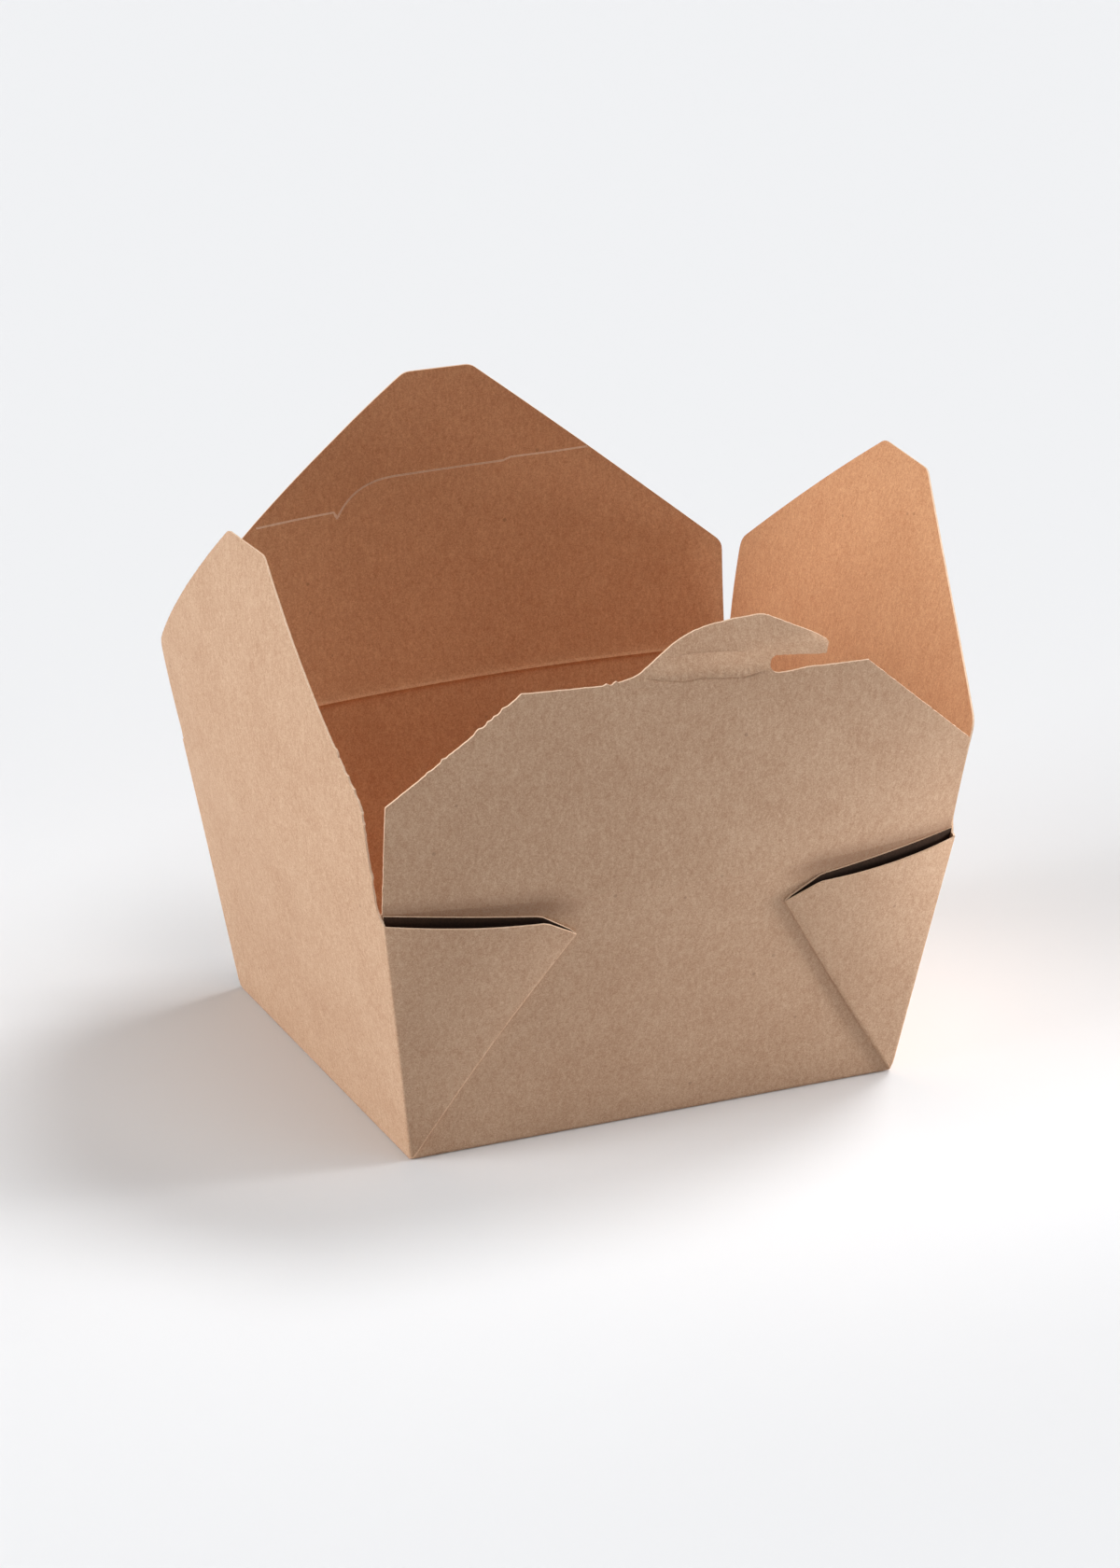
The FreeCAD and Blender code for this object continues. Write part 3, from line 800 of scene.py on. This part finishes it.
def base(materials):
    """The bottom with its rolled folds, a little domed as folded board is."""
    flat_x, flat_y = BASE_HALF_WIDTH - FOLD_START, BASE_HALF_DEPTH - FOLD_START

    def surface(x, y):
        over_x, over_y = np.maximum(np.abs(x) - flat_x, 0), np.maximum(np.abs(y) - flat_y, 0)
        over = np.hypot(over_x, over_y)
        turn = over / FOLD_RADIUS
        scale = np.where(over > 1e-9, FOLD_RADIUS * np.sin(turn) / np.maximum(over, 1e-9), 1)
        dome = BASE_DOME * np.maximum(1 - (x / flat_x) ** 2, 0) * np.maximum(1 - (y / flat_y) ** 2, 0)
        place_x = np.clip(x, -flat_x, flat_x) + np.sign(x) * over_x * scale
        place_y = np.clip(y, -flat_y, flat_y) + np.sign(y) * over_y * scale
        return np.stack([place_x, -place_y, BOARD / 2 + FOLD_RADIUS * (1 - np.cos(turn)) + dome], axis=-1)

    reach = math.radians(FOLD_TURN) * FOLD_RADIUS
    x, y = flat_x + reach, flat_y + reach
    outline = rounded([(-x, -y), (x, -y), (x, y), (-x, y)], [reach] * 4)
    fold_x, fold_y = flat_x + FOLD_MIDDLE, flat_y + FOLD_MIDDLE
    folds = [guide([(-x, s * fold_y), (x, s * fold_y)], CREASE_WIDTH) for s in (-1, 1)]
    folds += [guide([(s * fold_x, -y), (s * fold_x, y)], CREASE_WIDTH) for s in (-1, 1)]
    made = card("base", outline, surface, materials, folds)
    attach(made, "tray")
    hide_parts("tray")
    return made


def camera():
    a, e, roll = math.radians(AZIMUTH), math.radians(ELEVATION), math.radians(ROLL)
    back = Vector((math.sin(a) * math.cos(e), -math.cos(a) * math.cos(e), math.sin(e)))
    level = Vector((math.cos(a), math.sin(a), 0))
    upright = back.cross(level)
    right = math.cos(roll) * level + math.sin(roll) * upright
    up = math.cos(roll) * upright - math.sin(roll) * level
    made = bpy.data.objects.new("camera", bpy.data.cameras.new("camera"))
    made.data.sensor_width = SENSOR
    made.data.lens = FOCAL_PIXELS * SENSOR / IMAGE_HEIGHT
    made.data.clip_start, made.data.clip_end = CLIP_METRES
    place = (back * DISTANCE + right * SIDE_SHIFT + up * UP_SHIFT) * MM
    made.matrix_world = Matrix.Translation(place) @ Matrix((right, up, back)).transposed().to_4x4()
    bpy.context.scene.collection.objects.link(made)
    bpy.context.scene.camera = made


def sun(name, towards, strength, softness):
    """A far soft light: strength 1 lights a facing white surface to white."""
    lamp = bpy.data.lights.new(name, "SUN")
    lamp.energy = strength * math.pi
    lamp.angle = math.radians(softness)
    made = bpy.data.objects.new(name, lamp)
    made.rotation_euler = Vector(towards).to_track_quat("Z", "Y").to_euler()
    bpy.context.scene.collection.objects.link(made)


def spot():
    """A soft spot beside the box. Its light falls off across the front."""
    lamp = bpy.data.lights.new("right_near", "SPOT")
    lamp.energy = SPOT_POWER
    lamp.spot_size = math.radians(SPOT_CONE)
    lamp.spot_blend = 1.0
    lamp.shadow_soft_size = SPOT_SIZE
    made = bpy.data.objects.new("right_near", lamp)
    made.location = SPOT_PLACE
    made.rotation_euler = (Vector(SPOT_PLACE) - Vector(SPOT_AIM)).to_track_quat("Z", "Y").to_euler()
    made.visible_camera = False
    bpy.context.scene.collection.objects.link(made)


def floor():
    mesh = bpy.data.meshes.new("floor")
    half = FLOOR_HALF_METRES
    corners = [(-half, -half, 0), (half, -half, 0), (half, half, 0), (-half, half, 0)]
    mesh.from_pydata(corners, [], [(0, 1, 2, 3)])
    material = bpy.data.materials.new("floor")
    material.use_nodes = True
    shader = material.node_tree.nodes["Principled BSDF"]
    shader.inputs["Base Color"].default_value = colour(*FLOOR_COLOUR)
    shader.inputs["Roughness"].default_value = FLOOR_ROUGHNESS
    shader.inputs["Specular IOR Level"].default_value = 0.0
    mesh.materials.append(material)
    made = bpy.data.objects.new("floor", mesh)
    bpy.context.scene.collection.objects.link(made)


def lights():
    world = bpy.data.worlds.new("studio")
    world.use_nodes = True
    background = world.node_tree.nodes["Background"]
    background.inputs["Color"].default_value = (1, 1, 1, 1)
    background.inputs["Strength"].default_value = WORLD_STRENGTH
    bpy.context.scene.world = world
    for name, towards, strength, softness in SUNS:
        sun(name, towards, strength, softness)
    spot()


def side_flaps(board):
    """The left flap has torn fibres along the edge that faces the camera."""
    straight, slanted = [(60.8, 5), (60.8, 27)], [(60, 28.3), (40, 46.3)]
    flap(LEFT, worn(side_outline(), [straight, slanted], LEFT_WEAR), board)
    flap(RIGHT, side_outline(), board)


def tab_flap(board):
    """The front flap, with the crumples at the root of its tab and one above its crease."""
    root_line = [(-14, 54.0), (-9, 53.0), (-4, 52.3), (0.5, 52.7), (5, 52.2), (11, 51.9), (17, 53.0)]
    upper_line = [(-7, 57.2), (-2, 57.8), (6, 57.1), (14, 56.2)]
    lower_line = [(-19, 52.2), (-15, 51.8), (-10.5, 51.2), (-6, 51.3)]
    crease_line = [(-64, 2.2), (-52, 3.4), (-40, 3.9), (-27, 5.2)]
    crumples = [Groove(root_line, 0.3, 0.25), Groove(upper_line, 0.18, 0.22),
                Groove(lower_line, 0.16, 0.22), Groove(crease_line, 0.08, 0.5)]
    slanted, tab_root = [(-44, 52), (-70, 29)], [(-22, 53.3), (-11, 59)]
    outline = worn(front_flap_outline(), [slanted, tab_root], FRONT_WEAR)
    flap(FRONT, outline, board, crumples, swell=tab_bend)


def slit_flap(board):
    """The back flap, with its slit and the folds that run from both ends of it."""
    left_fold = [(25.8, 45.5), (26.5, 47.1), (36, 46.9), (46.5, 46.5)]
    right_fold = [(-17, 53.7), (-19, 54.4), (-30, 54.3), (-38, 54.5), (-41, 55.4)]
    tears = [guide(line, TEAR_WIDTH) for line in (left_fold, right_fold, slit_line())]
    flap(BACK, back_flap_outline(), board, holes=[slit_hole()], swell=back_bend, tears=tears)


def build():
    board = [kraft("kraft_outside", *OUTSIDE_LOOK), kraft("kraft_inside", *INSIDE_LOOK),
             kraft("kraft_edge", *EDGE_LOOK)]
    # Painted shadow: a near-black board for the inside of the web pockets.
    painted_pocket_shadow = kraft("kraft_painted_pocket_shadow", *PAINTED_POCKET_SHADOW_LOOK)
    base(board)
    for side in (FRONT, BACK, LEFT, RIGHT):
        wall(side, board)
    for front in (FRONT, BACK):
        for end in (-1, 1):
            web(front, end, board + [painted_pocket_shadow])
    side_flaps(board)
    tab_flap(board)
    slit_flap(board)


build()
camera()
lights()
floor()
bpy.context.scene.view_settings.view_transform = "Standard"
